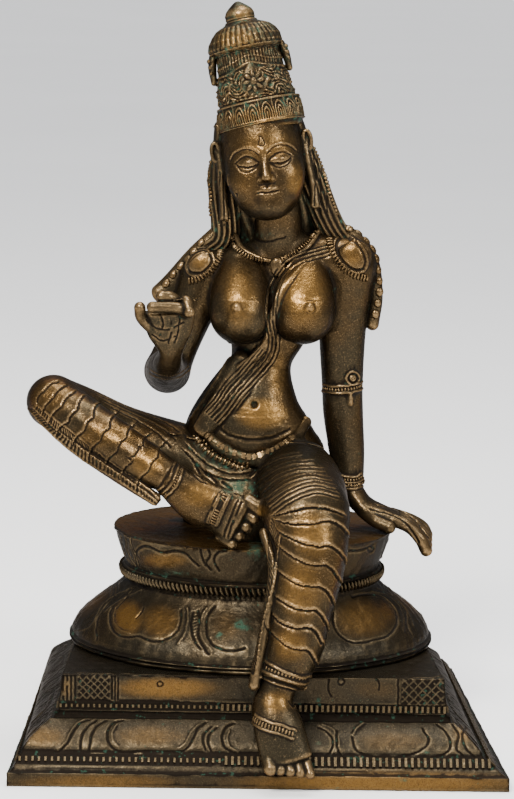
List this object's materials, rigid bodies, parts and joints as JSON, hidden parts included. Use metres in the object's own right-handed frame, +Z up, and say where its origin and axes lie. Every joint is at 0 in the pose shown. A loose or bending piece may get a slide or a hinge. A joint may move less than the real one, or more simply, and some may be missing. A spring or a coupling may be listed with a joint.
{
  "type": "seated goddess figure",
  "caption": "Cast bronze goddess in a tall crown, seated at ease with one leg folded and one hanging, on an oval double lotus over a stepped rectangular plinth.",
  "frame": {"origin": "centre of the lotus and the moulding, on the plinth's flat underside", "axes": "+Z up; the goddess faces -Y, so her right side is towards -X"},
  "size_m": [0.19, 0.161, 0.2898],
  "materials": {
    "figure": "aged brown bronze, satin, rubbed golden on the high places, dark with some green in the recesses",
    "pedestal": "aged brown bronze, satin, duller than the figure, with orange-brown panels and dark recesses"
  },
  "bodies": {
    "root": {"pedestal": "pedestal", "figure": "figure"}
  },
  "joints": []
}
